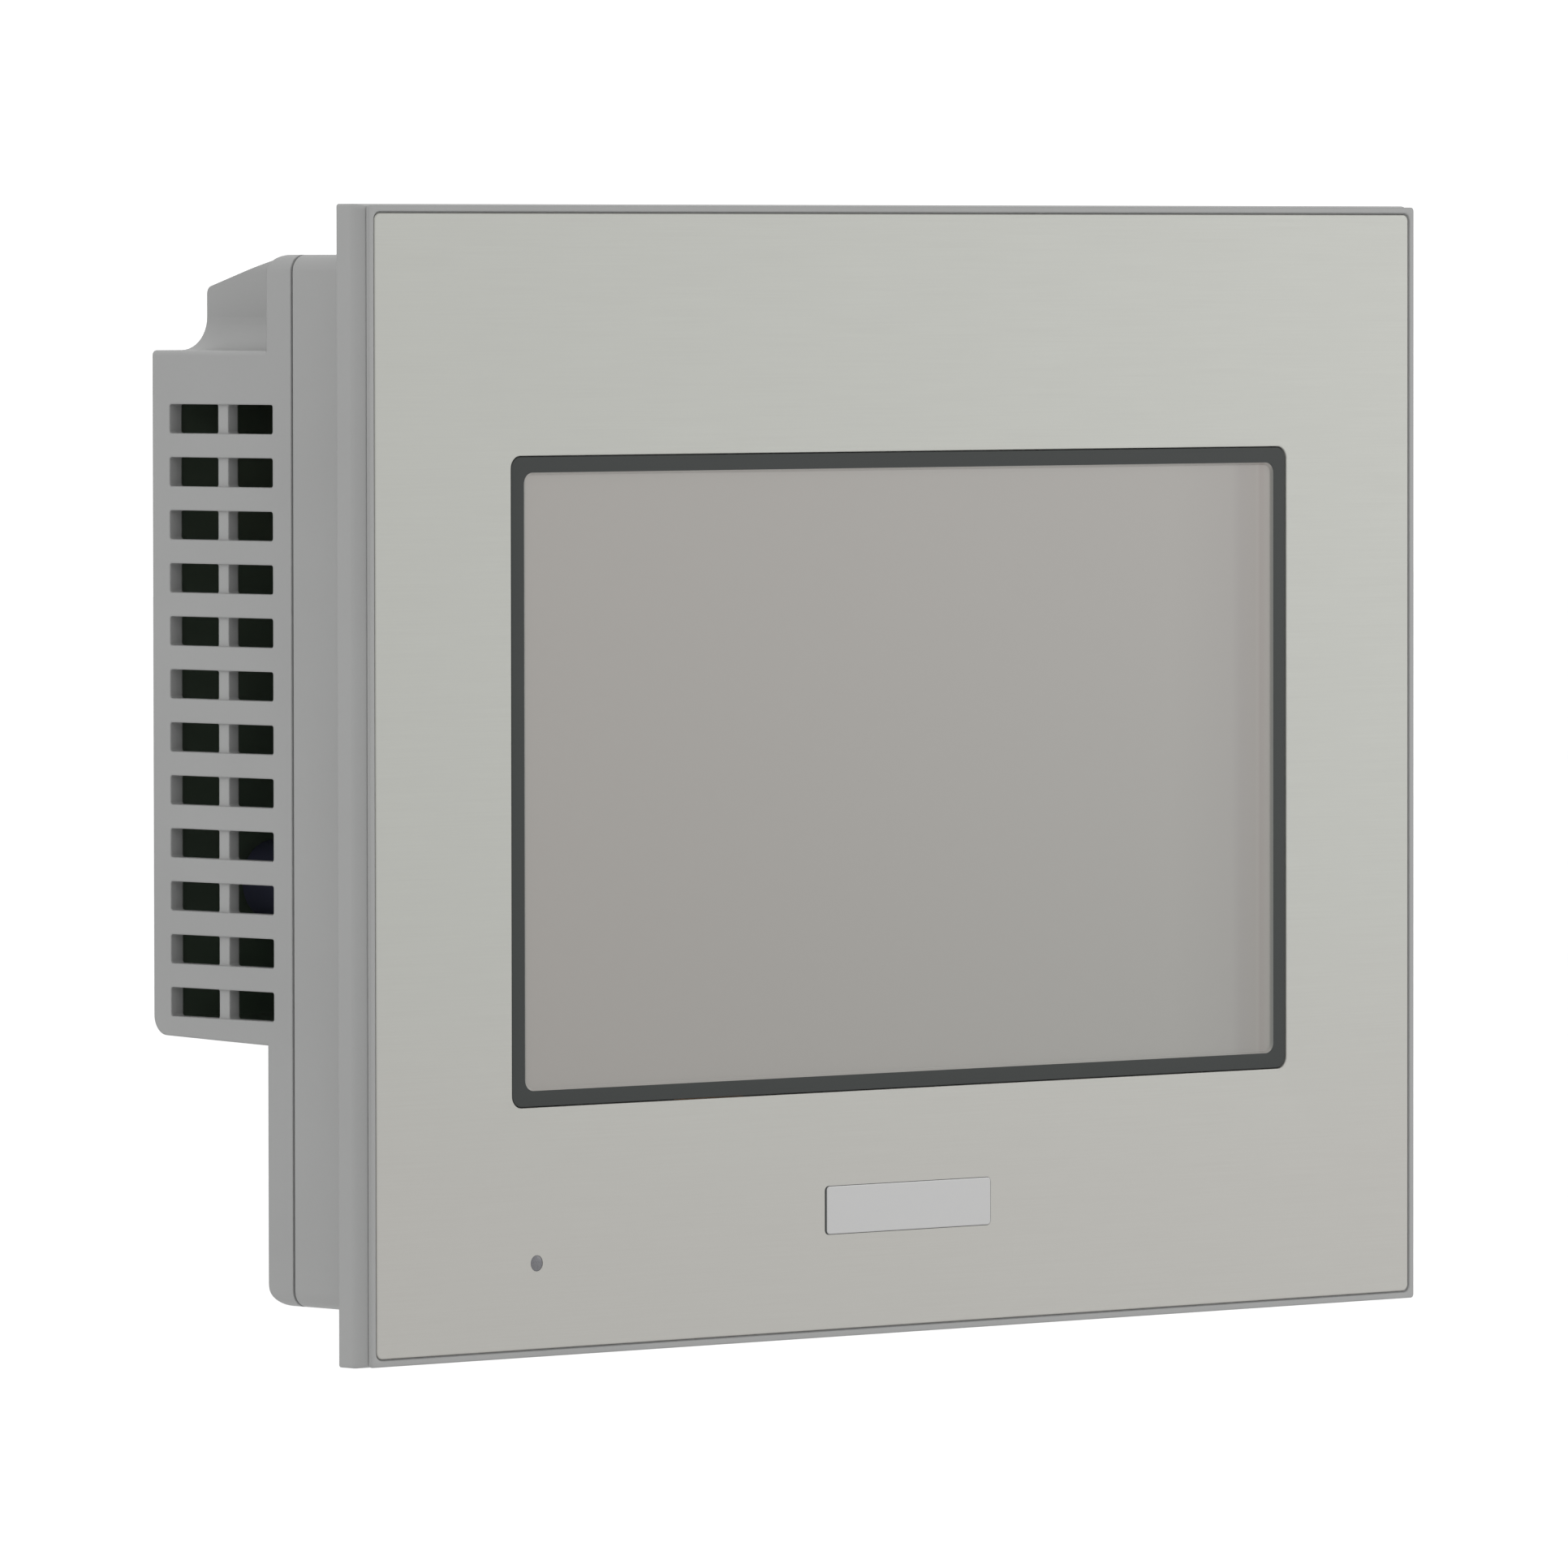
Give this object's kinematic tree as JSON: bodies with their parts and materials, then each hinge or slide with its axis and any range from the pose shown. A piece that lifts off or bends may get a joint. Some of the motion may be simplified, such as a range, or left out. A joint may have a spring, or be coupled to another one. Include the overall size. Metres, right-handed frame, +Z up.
{
  "type": "hmi touch panel",
  "caption": "Panel-mount operator terminal: brushed metal bezel round a wide touch screen, grey case with a deep vented box behind.",
  "frame": {"origin": "centre of the bezel flange's rear face, which rests on the cabinet door", "axes": "+X to the operator's right, +Y from the front towards the back of the panel, +Z up"},
  "size_m": [0.218, 0.0585, 0.173],
  "materials": {
    "case_plastic": "fine matt mould texture, neutral grey",
    "cover_plastic": "fine matt mould texture, neutral grey",
    "face_metal": "fine satin brushed sheet",
    "badge_metal": "smooth satin, blank",
    "lamp_window": "milky light pipe",
    "border_black": "printed black margin",
    "screen_film": "anti-glare film over the unlit display",
    "clear_glass": "clear float glass",
    "seal_rubber": "black closed-cell seal",
    "flex_circuit": "amber flexible circuit",
    "sheet_steel": "zinc-plated sheet",
    "lcd_cell": "dark liquid crystal cell",
    "white_plastic": "white light guide and tray",
    "screw_steel": "nickel-plated fasteners",
    "pillar_brass": "turned brass",
    "board_green": "green solder mask",
    "chip_black": "moulded chip package",
    "heat_sink_metal": "extruded aluminium",
    "can_sleeve": "shrunk capacitor sleeve",
    "ferrite": "ferrite core",
    "copper": "enamelled copper winding",
    "cell_steel": "coin cell can",
    "black_plastic": "black moulded plastic",
    "ivory_plastic": "ivory connector plastic",
    "port_metal": "tinned connector shell",
    "terminal_green": "green terminal plastic",
    "switch_red": "red switch housing",
    "switch_white": "white knob",
    "label_foil": "blank matt label"
  },
  "bodies": {
    "body": {"front_bezel": "case_plastic", "face_plate": "face_metal", "badge_plate": "badge_metal", "status_window": "lamp_window", "panel_gasket": "seal_rubber", "screen_border": "border_black", "touch_film": "screen_film", "touch_glass": "clear_glass", "touch_gasket": "seal_rubber", "touch_tail": "flex_circuit", "lcd_frame": "sheet_steel", "lcd_panel": "lcd_cell", "light_guide": "white_plastic", "lcd_tray": "white_plastic", "lcd_cable": "flex_circuit", "display_chassis": "sheet_steel", "chassis_screws": "screw_steel", "board_pillars": "pillar_brass", "board_screws": "screw_steel", "processor_chip": "chip_black", "heat_sink": "heat_sink_metal", "memory_chips": "chip_black", "board_capacitors": "can_sleeve", "board_inductors": "ferrite", "cell_holder": "black_plastic", "clock_cell": "cell_steel", "buzzer": "black_plastic", "expansion_socket": "ivory_plastic", "power_transformer": "ferrite", "power_capacitors": "can_sleeve", "power_choke": "copper", "power_link": "ivory_plastic", "driver_board": "board_green", "driver_chips": "chip_black", "driver_sockets": "ivory_plastic", "driver_cable": "ivory_plastic", "status_lamp": "white_plastic", "lan_jack": "port_metal", "usb_ports": "port_metal", "serial_port": "port_metal", "jack_screws": "screw_steel", "power_header": "terminal_green", "card_slot": "sheet_steel", "dip_body": "switch_red", "door_pin": "screw_steel", "rear_cover": "cover_plastic", "cover_screws": "screw_steel", "expansion_lid": "cover_plastic", "lid_screws": "screw_steel", "rating_label": "label_foil", "main_board": "board_green", "power_board": "board_green"},
    "card_door": {"card_door": "cover_plastic"},
    "eject_button": {"eject_button": "black_plastic"},
    "supply_plug": {"power_plug": "terminal_green", "plug_screws": "screw_steel"},
    "setting_switch_1": {"dip_slider_1": "switch_white"},
    "setting_switch_2": {"dip_slider_2": "switch_white"},
    "setting_switch_3": {"dip_slider_3": "switch_white"},
    "setting_switch_4": {"dip_slider_4": "switch_white"}
  },
  "joints": [
    {"name": "card_door_hinge", "type": "hinge", "parent": "body", "child": "card_door", "pos_m": [0.10005, 0.0454, 0], "axis": [0, 0, 1], "range_deg": [0, 100]},
    {"name": "eject_button_push", "type": "slide", "parent": "body", "child": "eject_button", "axis": [-1, 0, 0], "range_m": [0, 0.0035], "stiffness_N_per_m": 200, "springref_m": -0.001},
    {"name": "supply_plug_pull", "type": "slide", "parent": "body", "child": "supply_plug", "axis": [0, 0, -1], "range_m": [0, 0.012]},
    {"name": "setting_switch_1_slide", "type": "slide", "parent": "body", "child": "setting_switch_1", "axis": [0, 1, 0], "range_m": [0, 0.0014]},
    {"name": "setting_switch_2_slide", "type": "slide", "parent": "body", "child": "setting_switch_2", "axis": [0, 1, 0], "range_m": [0, 0.0014]},
    {"name": "setting_switch_3_slide", "type": "slide", "parent": "body", "child": "setting_switch_3", "axis": [0, 1, 0], "range_m": [0, 0.0014]},
    {"name": "setting_switch_4_slide", "type": "slide", "parent": "body", "child": "setting_switch_4", "axis": [0, 1, 0], "range_m": [0, 0.0014]}
  ]
}
